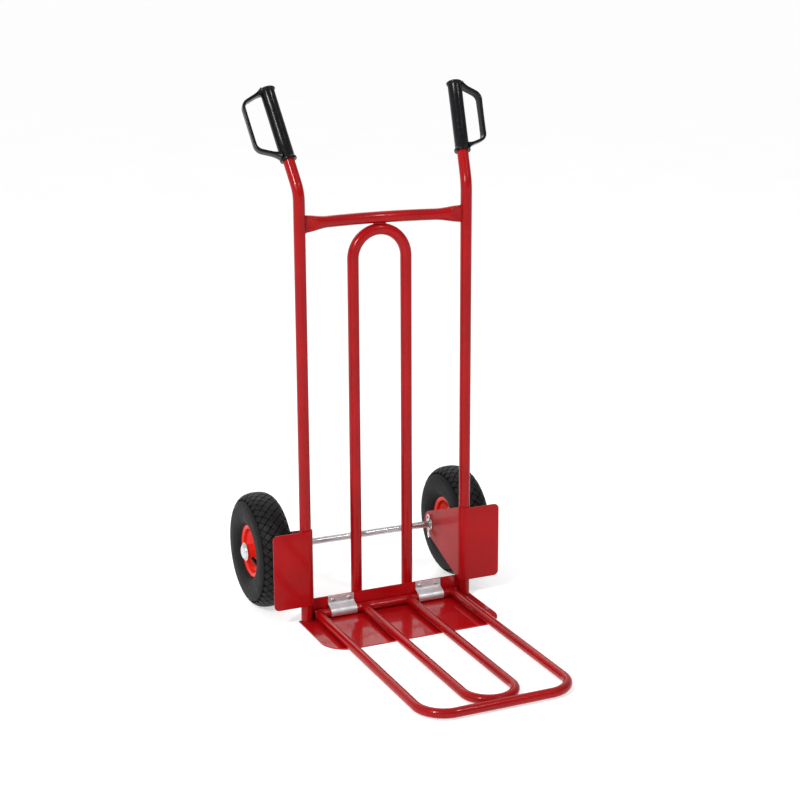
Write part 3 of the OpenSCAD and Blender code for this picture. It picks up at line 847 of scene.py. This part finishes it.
def at_width(v):
    """Section angle at v millimetres along the tread from the crown."""
    want = abs(v)
    for (d0, a0), (d1, a1) in zip(TREAD_TABLE, TREAD_TABLE[1:]):
        if d1 >= want:
            return math.copysign(a0 + (a1 - a0) * (want - d0) / (d1 - d0), v)
    return math.copysign(TREAD_TABLE[-1][1], v)


def tyre_carcass():
    """Casing between the beads, lower under the tread, with three ribs on each sidewall."""
    bead_angle = 144
    rib_width = 1.6
    ribs = ((128, 0.9), (101, 0.5), (74, 0.4))  # degrees from the crown, and height
    profile = []
    for degrees in range(-bead_angle, bead_angle + 1):
        wall = eased(min(1.0, max(0.0, (abs(degrees) - TREAD_EDGE) / SHOULDER)))
        p = tyre_point(math.radians(degrees), 0, -TREAD_DEPTH * (1 - wall))
        rib = sum(
            high * math.exp(-(((abs(degrees) - at) / rib_width) ** 2)) for at, high in ribs
        )
        profile.append((p.x, p.z + math.copysign(rib, p.z)))
    seat_r, seat_z = RIM_R - BEAD_DEPTH, RIM_HALF - RIM_T - 0.3
    seat = [
        (RIM_R + 0.4, RIM_HALF + 1.0), (RIM_R - 1.5, seat_z), (seat_r, seat_z), (seat_r, 14.0),
        (RIM_R + 1.0, 13.0),
    ]
    return lathe([(r, -z) for r, z in reversed(seat)] + profile + seat, 144, True)


def block_outline(cut, outer_way):
    """Diamond with its corners cut, as (u, v). The half towards outer_way in v is shorter."""
    outer_share = 0.75
    outline = []
    for u, v in (
        (1, cut), (cut, 1), (-cut, 1), (-1, cut), (-1, -cut), (-cut, -1), (cut, -1), (1, -cut)
    ):
        outline.append((u, v * outer_share if v * outer_way > 0 else v))
    return outline


def tread_blocks(count=40, rows=7, row_step=10.8):
    """Diamond blocks in staggered rows, each crowned to follow the casing."""
    parts = []
    pitch = math.tau / count
    filled = 0.80
    half_u, half_v = pitch / 2 * filled, row_step * filled
    levels = ((1.10, -TREAD_DEPTH - 0.6), (1.0, -0.7), (0.88, 0.0))  # size and height
    for row in range(rows):
        v0 = (row - (rows - 1) / 2) * row_step
        outline = block_outline(0.16, v0 if row in (0, rows - 1) else 0)
        corners = len(outline)
        for i in range(count):
            theta0 = pitch * (i + (0.5 if row % 2 else 0.0))
            rings = [
                [
                    tyre_point(at_width(v0 + v * half_v * grow), theta0 + u * half_u * grow, lift)
                    for u, v in outline
                ]
                for grow, lift in levels
            ]
            verts, faces = loft(rings, caps=(False, False))
            faces = [tuple(reversed(f)) for f in faces]
            centre = len(verts)
            verts.append(tyre_point(at_width(v0), theta0, 0.0))
            top = centre - corners
            faces += [(top + (k + 1) % corners, top + k, centre) for k in range(corners)]
            parts.append((verts, faces))
    return joined(parts)


def rim_section():
    """One pressed rim half: rolled edge, bead seat, slope to the clamped ring, hub boss."""
    mid = RIM_T / 2
    bed_r = RIM_R - BEAD_DEPTH - 0.3 - mid
    boss_r, boss_h = HUB_R + 0.3, 9.0
    line = [
        (RIM_R, RIM_HALF - mid), (bed_r, RIM_HALF - mid), (bed_r, RIM_HALF - 10),
        (38.0, mid), (22.0, mid), (boss_r + RIM_T, boss_h), (boss_r, boss_h),
    ]
    line = [Vector(p) for p in softened(line, 3.2, 5)]
    left, right = both_sides(line, mid, mitred=False)
    return [(p.x, p.y) for p in left + right[::-1]]


def hex_head(radius, height, chamfer=0.9):
    """Six-sided bolt head or nut with its top edge chamfered."""
    top = [(radius, height - chamfer), (radius - chamfer, height)]
    return lathe([(radius - 0.3, 0.0), (radius, 0.4)] + top, 6)


def threaded(radius, low, high, pitch=1.0):
    """Bolt shank with ridges for its thread."""
    profile = [(radius - 0.9, low)]
    h = low + 0.4
    while h + pitch < high:
        profile += [(radius, h), (radius - pitch / 2, h + pitch / 2)]
        h += pitch
    return lathe(profile + [(radius, high)], 28)


def bolts_and_nuts():
    """The bolts that clamp the rim halves, each with a washer, and their nuts, as two parts."""
    bolt_r, head_r, head_h, nut_h = 3.0, 5.7, 4.0, 5.0
    bolts, nuts = [], []
    for i in range(4):
        place = turned("Z", 45 + 90 * i) @ Matrix.Translation((BOLT_CIRCLE_R, 0, 0))
        washer = lathe(ring_profile(bolt_r + GAP, 6.3, RIM_T + 0.05, RIM_T + 1.0, 0.2), 32, True)
        bolts.append(placed(washer, place))
        on_face = place @ Matrix.Translation((0, 0, RIM_T + GAP))
        bolts.append(placed(hex_head(head_r, head_h), on_face))
        bolts.append(placed(threaded(bolt_r, -RIM_T - nut_h - 2.2, RIM_T), place))
        behind = place @ Matrix.Translation((0, 0, -RIM_T - nut_h - GAP))
        nuts.append(placed(hex_head(head_r, nut_h), behind))
    return joined(bolts), joined(nuts)


def bearings_part():
    """Outer ring, inner ring and shield of a bearing at each end of the hub."""
    width = 22
    parts = []
    for low, high in ((-HUB_HALF, width - HUB_HALF), (HUB_HALF - width, HUB_HALF)):
        outer = ring_profile(HUB_R - 4.3, HUB_R - 2.6, low, high, 0.3)
        inner = ring_profile(AXLE_R + 0.06, AXLE_R + 1.6, low, high, 0.3)
        shield = ring_profile(AXLE_R + 1.5, HUB_R - 4.2, low + 0.5, high - 0.5, 0.2)
        parts += [lathe(profile, 64, True) for profile in (outer, inner, shield)]
    return joined(parts)


VALVE_BASE = Matrix.Translation((RIM_R - BEAD_DEPTH, 0, 0)) @ turned("Y", -VALVE_LEAN)


def valve_part():
    """Valve stem with its ridged cap, leaning from the inner tube towards the hub."""
    stem_r, cap_r, ridge = 3.9, 4.0, 1.2
    profile = [(stem_r, 2.6), (stem_r, 4.0), (stem_r, 24.0), (3.5, 25.0), (3.5, 27.0)]
    profile.append((cap_r, 27.4))
    h = 27.6
    while h < 43.0:
        profile += [(cap_r, h), (cap_r - 0.25, h + ridge / 2)]
        h += ridge
    profile += [(3.6, 44.8), (2.8, 46.0), (0.6, 46.4)]
    return placed(lathe(profile, 32), VALVE_BASE)


AIR_TUBE_R = 31.5
hub_frame = on_axle(WHEEL_X)
flip = Matrix.Scale(-1, 4, Z)

for word, side in SIDES:
    def wheel_piece(name, part, material, slot, nodes=(), **more):
        piece(f"{word}_{name}", placed(part, hub_frame), material, f"{word}_wheel", slot,
              [f"{word}_{node}" for node in nodes], side, **more)

    wheel_piece("tyre_casing", tyre_carcass(), TYRE, "tyre_rubber", ["tyre"], sharp=60)
    wheel_piece("tyre_tread", tread_blocks(), TREAD, "tyre_rubber", sharp=28)
    rim = lathe(rim_section(), 128, True)
    hole = placed(lathe([(VALVE_HOLE_R, 0.0), (VALVE_HOLE_R, 44.0)], 48), hub_frame @ VALVE_BASE)
    wheel_piece("rim_outer", rim, RIM_RED, "rim_paint", ["rim_outer_half"], sharp=50, drill=hole)
    mirrored = ([flip @ v for v in rim[0]], [tuple(reversed(f)) for f in rim[1]])
    wheel_piece("rim_inner", mirrored, RIM_RED, "rim_paint", ["rim_inner_half"], sharp=60)
    tube_profile = ring_profile(HUB_R - 2.5, HUB_R, -HUB_HALF, HUB_HALF, 0.5)
    wheel_piece("hub_tube", lathe(tube_profile, 64, True), RIM_RED, "rim_paint", ["hub"])
    wheel_piece("bearing_rings", bearings_part(), BEARING, "bearing_steel", ["bearings"])
    bolts, nuts = bolts_and_nuts()
    wheel_piece("wheel_bolts", bolts, BRIGHT, "zinc_plate", ["rim_bolts"], sharp=30)
    wheel_piece("wheel_nuts", nuts, BRIGHT, "zinc_plate", ["rim_nuts"], sharp=30)
    wheel_piece("valve_stem", valve_part(), BLACK, "black_plastic", ["valve"], sharp=30)
    air_tube = [(SECTION_R + r, h) for r, h in round_section(AIR_TUBE_R, 28)]
    wheel_piece("air_tube", lathe(air_tube, 96, True), SOFT, "inner_rubber", ["inner_tube"])

# -------- grips


def strap_part():
    """Guard strap that shields the knuckles, thicker and wider where it joins the barrel."""
    mid = STRAP_REACH - STRAP_T / 2
    root_x, flare_reach = GRIP_R - 4, 16.0
    corners = [
        Vector((root_x, 0, COLLAR_T + STRAP_T)), Vector((mid, 0, 36.0)),
        Vector((mid, 0, GRIP_L - 24)), Vector((root_x, 0, GRIP_L - COLLAR_T)),
    ]
    coarse = blended(corners, 13.0, 14)
    path = []
    for a, b in zip(coarse, coarse[1:]):
        path += straight(a, b, max(1, round((b - a).length / 2.5)))
    path.append(coarse[-1])
    sections = []
    for p in path:
        flare = max(0.0, 1 - (p.x - GRIP_R) / flare_reach) ** 2
        waist = 1.0 - 0.10 * math.sin(math.pi * min(1.0, max(0.0, (p.z - 30) / 105.0)))
        thick, wide = STRAP_T * (1 + 0.8 * flare), STRAP_W * (waist + 0.25 * flare)
        sections.append(oval_section(thick / 2, wide / 2, 4.2, 36))
    return placed(sweep(path, sections, Y), turned("Z", STRAP_TURN - 90))


def grip_part():
    """Barrel with a collar at each end, and its strap."""
    bore_r = TUBE_R + 2 * GAP
    end = GRIP_L - COLLAR_T
    barrel = [
        (bore_r, 14.0), (bore_r, 0.6), (COLLAR_R - 1.0, 0.0), (COLLAR_R, 1.0),
        (COLLAR_R, COLLAR_T - 1.2), (COLLAR_R - 0.8, COLLAR_T), (GRIP_R + 0.5, COLLAR_T + 0.9),
        (GRIP_R, COLLAR_T + 2.2), (GRIP_R - 0.1, 50.0), (GRIP_R - 0.1, GRIP_L - 50),
        (GRIP_R, end - 3.0), (GRIP_R + 0.6, end - 1.4), (COLLAR_R - 0.9, end),
        (COLLAR_R, end + 1.2), (COLLAR_R, GRIP_L - 2.4), (COLLAR_R - 1.6, GRIP_L - 0.8),
        (COLLAR_R - 4.5, GRIP_L - 0.2), (9.0, GRIP_L), (1.0, GRIP_L),
    ]
    return joined([lathe(barrel, 72), strap_part()])


for word, side in SIDES:
    piece(f"{word}_grip_moulding", placed(grip_part(), HANDLE), BLACK, "frame",
          "black_plastic", [f"{word}_grip"], side, sharp=50)

# -------- toe extension

leg_root = EXT_Y - 4.0  # legs end inside the hinge bar


def loop_path(half, front, corner_r):
    """Down the right leg, round the front with corners of corner_r, and up the left leg."""
    right = Vector((half - corner_r, front + corner_r, EXT_Z))
    left = Vector((corner_r - half, front + corner_r, EXT_Z))
    path = straight(Vector((half, leg_root, EXT_Z)), right + X * corner_r, 20)
    if left.x < right.x:
        path += arc(right, right + X * corner_r, -Z, 90, 22)
        path += straight(right - Y * corner_r, left - Y * corner_r, 10)[1:]
        path += arc(left, left - Y * corner_r, -Z, 90, 22)
    else:
        path += arc(right, right + X * corner_r, -Z, 180, 40)
    back = Vector((-half, leg_root, EXT_Z))
    return path + straight(left - X * corner_r, back, 20)[1:] + [back]


for word, half, front, corner_r in (
    ("outer", EXT_SIDE, EXT_FRONT, EXT_CORNER_R), ("inner", INNER_HALF, INNER_FRONT, INNER_HALF)
):
    tube = pipe(loop_path(half, front, corner_r), EXT_R, Z, (False, False), sides=36)
    piece(f"extension_{word}_tube", tube, RED, "extension", "red_paint", [f"extension_{word}_loop"])

bar_end = Vector((EXT_HALF, EXT_Y, EXT_Z))
bar_path = straight(bar_end - X * 2 * EXT_HALF, bar_end, 24) + [bar_end]
piece("extension_hinge_bar", pipe(bar_path, EXT_R, Z, sides=36, depth=6), RED,
      "extension", "red_paint", ["extension_rear_bar"])
PLUG_R = 8.3
PLUG_DEPTH = 4
plug_profile = [(0.5, -PLUG_DEPTH), (PLUG_R, -PLUG_DEPTH), (PLUG_R, -0.2), (6.0, 0.0), (0.5, 0.0)]
plug = lathe(softened(plug_profile, 0.8), 40)
plugs = [placed(plug, basis(Vector((way * EXT_HALF, EXT_Y, EXT_Z)), X * way, Y)) for way in (-1, 1)]
piece("extension_plugs", joined(plugs), BLACK, "extension", "black_plastic",
      ["extension_end_plugs"])

# -------- hinge clips

CLIP_RING = EXT_R + 0.3 + CLIP_T / 2
CLIP_LIP = 215  # degrees round the bar from the back


def clip_part():
    """Flat riveted flange, a soft step, and the lip over the front of the hinge bar."""
    face_y = toe_hi.y - SHEET - GAP - CLIP_T / 2
    bar = Vector((EXT_Y, EXT_Z))
    top, flat = Vector((face_y, clip_hi.z)), Vector((face_y, clip_hi.z - 8))
    knee = Vector((face_y, EXT_Z + EXT_R + 7))
    away = knee - bar
    touch = math.atan2(away.y, away.x) + math.acos(CLIP_RING / away.length)
    lip = []
    for i in range(17):
        a = touch + (math.radians(CLIP_LIP) - touch) * i / 16
        lip.append(bar + Vector((math.cos(a), math.sin(a))) * CLIP_RING)
    path = [top, flat] + rounded(flat, knee, lip[0], 4, 3, 7) + lip
    low, high = [clip_lo.x] * len(path), [clip_hi.x] * len(path)
    return folded_sheet(path, low, high, CLIP_T, lambda p, across: Vector((across, p.x, p.y)))


RIVET_R = 5.2
RIVET_EDGE = 0.5
RIVET_DOME = 2.0
TAIL_SIZE = 0.9  # of a rivet's back head
head = [(RIVET_R, 0.0), (RIVET_R, RIVET_EDGE)]
for i in range(1, 11):
    a = math.radians(9 * i)
    head.append((RIVET_R * math.cos(a) + 0.3, RIVET_EDGE + RIVET_DOME * math.sin(a)))
tail = [(r * TAIL_SIZE, h * TAIL_SIZE) for r, h in head]
for word, side in SIDES:
    piece(f"{word}_clip_sheet", clip_part(), CLIP_ZINC, "frame", "zinc_plate",
          [f"{word}_hinge_clip"], side, bevel=0.35, sharp=50)
    rivets = []
    for step in (-1, 1):
        x = CLIP_X + step * RIVET_STEP
        front = Vector((x, toe_hi.y - SHEET - GAP - CLIP_T, RIVET_Z))
        back = Vector((x, toe_hi.y, RIVET_Z))
        rivets.append(placed(lathe(head, 36), basis(front, -Y, X)))
        rivets.append(placed(lathe(tail, 36), basis(back, Y, X)))
    piece(f"{word}_rivet_heads", joined(rivets), BRIGHT, "frame", "zinc_plate",
          ["clip_rivets"] if side > 0 else (), side)

# -------- welds


def weld(name, lines, radius, body, side=1, loop=False):
    """Makes one piece of the weld beads along lines, in a darker red that is painted shade for the
    joints.
    """
    parts = [bead(line, radius, loop) for line in lines]
    piece(name, joined(parts), WELD_SHADED_RED, body, "red_paint", (), side, sharp=80)


def upward(x, y, low, step, count):
    """Points above each other, from low on."""
    return [Vector((x, y, 0)) + Z * (low + step * i) for i in range(count)]


def crossbar_weld_line():
    """Round the crossbar's flattened end, on the upright's wall."""
    line = []
    for y, z in ((math.cos(math.tau * i / 28), math.sin(math.tau * i / 28)) for i in range(28)):
        y *= CROSS_END_T / 2 + 0.6
        z = CROSS_Z + (CROSS_END_H / 2 + 0.2) * z
        line.append(Vector((UPRIGHT_X - math.sqrt(TUBE_R**2 - y * y) - 0.2, y, z)))
    return line


def foot_weld_lines():
    """Round the upright's foot on the toe plate, and up the crevice at the upstand."""
    ring = [
        Vector((UPRIGHT_X, 0, SHEET + 0.6))
        + turned("Z", degrees).to_3x3() @ Vector((TUBE_R + 0.7, 0, 0))
        for degrees in range(160, 386, 9)
    ]
    return [ring, upward(UPRIGHT_X - 7.5, toe_hi.y - SHEET - 1.6, 8, 5, 8)]


def guard_weld_lines():
    """Four stitches where the guard's sheet leaves the upright."""
    inside, aside = TUBE_R + GAP - 1.2, 6.5
    lines = []
    for low in (bracket_lo.z + 6, bracket_hi.z - 40):
        lines.append(upward(UPRIGHT_X + aside, -inside, low, 6, 6))
        lines.append(upward(UPRIGHT_X - inside, aside, low, 6, 6))
    return lines


def saddle_weld_line(x):
    """Round the end of an extension leg, on the hinge bar's wall."""
    r = EXT_R + 0.4
    least = 9.0  # keeps the bead off the bar's axis at the leg's top and bottom
    line = []
    for i in range(40):
        c, s = math.cos(math.tau * i / 40), math.sin(math.tau * i / 40)
        forward = math.sqrt(max(r * r - (r * s) ** 2, least)) + 0.4
        line.append(Vector((x + r * c, EXT_Y - forward, EXT_Z + r * s)))
    return line


for word, side in SIDES:
    weld(f"{word}_crossbar_weld", [crossbar_weld_line()], 1.5, "frame", side, True)
    weld(f"{word}_foot_weld", foot_weld_lines(), 1.8, "frame", side)
    weld(f"{word}_guard_weld", guard_weld_lines(), 1.7, "frame", side)
    legs = [upward(HOOP_HALF + way * 6.2, toe_hi.y + 1.4, 8, 6, 7) for way in (-1, 1)]
    weld(f"{word}_hoop_leg_weld", legs, 1.9, "frame", side)
    saddles = [saddle_weld_line(x) for x in (EXT_SIDE, INNER_HALF)]
    weld(f"{word}_extension_leg_weld", saddles, 1.3, "extension", side, True)

CREVICE = 6.3  # from the hoop's middle to where its top meets the crossbar
hoop_top = [
    [Vector((x, HOOP_Y + way * CREVICE, CROSS_Z - TUBE_R - 0.05)) for x in range(-13, 14, 2)]
    for way in (-1, 1)
]
weld("hoop_top_weld", hoop_top, 2.0, "frame")
front_mid = (EXT_FRONT + INNER_FRONT) / 2
fronts = [
    [Vector((x, front_mid, EXT_Z + way * 5.2)) for x in range(-12, 13, 2)] for way in (-1, 1)
]
weld("extension_front_weld", fronts, 1.7, "extension")

# -------- stage, light and camera


def floor_disc():
    """A wide floor whose far edge rises, so that level views end on it too."""
    around = 96
    edge = ((220e3, 0.0), (250e3, 4e3), (265e3, 35e3))  # radius and height
    verts = [Vector((x, y, rise)) for far, rise in edge for x, y in round_section(far, around)]
    faces = [tuple(range(around))]
    for inner in (0, around):
        for i in range(around):
            k = (i + 1) % around
            faces.append((inner + i, inner + around + i, inner + around + k, inner + k))
    n = Nodes("pale_floor")
    cloud = n.remap(n.noise(2.0, 2), (0.3, 0.7), (0, 1))
    tone = n.mix(cloud, (0.60, 0.60, 0.60, 1), (0.62, 0.62, 0.62, 1))
    material = n.finish(
        Base_Color=tone, Roughness=0.85, Specular_IOR_Level=0.1,
        Emission_Color=(1, 1, 1, 1), Emission_Strength=0.58,
    )
    linked("floor", (verts, faces), material, 1)


floor_disc()


def softbox(name, place, target, size, power):
    """A plain white panel at place, in metres, that faces target."""
    light = bpy.data.lights.new(name, "AREA")
    light.shape = "RECTANGLE"
    light.size, light.size_y = size
    light.energy = power
    obj = bpy.data.objects.new(name, light)
    obj.location = place
    obj.rotation_euler = (Vector(target) - Vector(place)).to_track_quat("-Z", "Y").to_euler()
    bpy.context.scene.collection.objects.link(obj)


softbox("key", (-2.8, -2.2, 3.0), (0, 0, 0.5), (0.6, 0.9), 115)
softbox("glint", (1.6, -2.7, 3.5), (0, 0, 0.8), (0.35, 0.35), 30)
softbox("back", (0.6, 3.4, 2.6), (0, 0, 0.5), (3.0, 1.6), 26)


def studio_world():
    """Surround that is bright above, behind and to the left, and dim in front and below."""
    world = bpy.data.worlds.new("studio")
    world.use_nodes = True
    tree = world.node_tree
    where = tree.nodes.new("ShaderNodeTexCoord").outputs["Generated"]
    split = tree.nodes.new("ShaderNodeSeparateXYZ")
    tree.links.new(where, split.inputs[0])
    total = None
    shares = (  # axis, where the light starts and is full along it, and how much it adds
        ("Z", 0.0, 1.0, 0.46),
        ("Y", 0.0, 1.0, 0.50),
        ("X", -0.1, -1.0, 0.40),
        ("Z", -1.0, -0.9, 0.14),  # nearly everywhere
    )
    for axis, start, end, share in shares:
        ramp = tree.nodes.new("ShaderNodeMapRange")
        ramp.inputs["From Min"].default_value = start
        ramp.inputs["From Max"].default_value = end
        ramp.inputs["To Max"].default_value = share
        tree.links.new(split.outputs[axis], ramp.inputs["Value"])
        if total is None:
            total = ramp.outputs["Result"]
            continue
        both = tree.nodes.new("ShaderNodeMath")
        tree.links.new(total, both.inputs[0])
        tree.links.new(ramp.outputs["Result"], both.inputs[1])
        total = both.outputs[0]
    tree.links.new(total, tree.nodes["Background"].inputs["Strength"])
    tree.nodes["Background"].inputs["Color"].default_value = (1, 1, 1, 1)
    bpy.context.scene.world = world


studio_world()
bpy.context.scene.view_settings.view_transform = "Standard"


def aim_camera():
    """The camera of a studio shot from the left, a little above, with a 74 mm lens."""
    yaw, pitch, roll = math.radians(24.16), math.radians(14.73), math.radians(-0.23)
    place = Vector((-1391.7, -3178.6, 1398.9)) * MM
    data = bpy.data.cameras.new("camera")
    data.sensor_width = 36.0
    data.lens = 74.02
    data.clip_start, data.clip_end = 0.05, 800
    camera = bpy.data.objects.new("camera", data)
    forward = Vector(
        (math.sin(yaw) * math.cos(pitch), math.cos(yaw) * math.cos(pitch), -math.sin(pitch))
    )
    level = Vector((math.cos(yaw), -math.sin(yaw), 0))
    upright = level.cross(forward)
    right = level * math.cos(roll) + upright * math.sin(roll)
    camera.matrix_world = basis(place, -forward, right)
    bpy.context.scene.collection.objects.link(camera)
    bpy.context.scene.camera = camera


aim_camera()
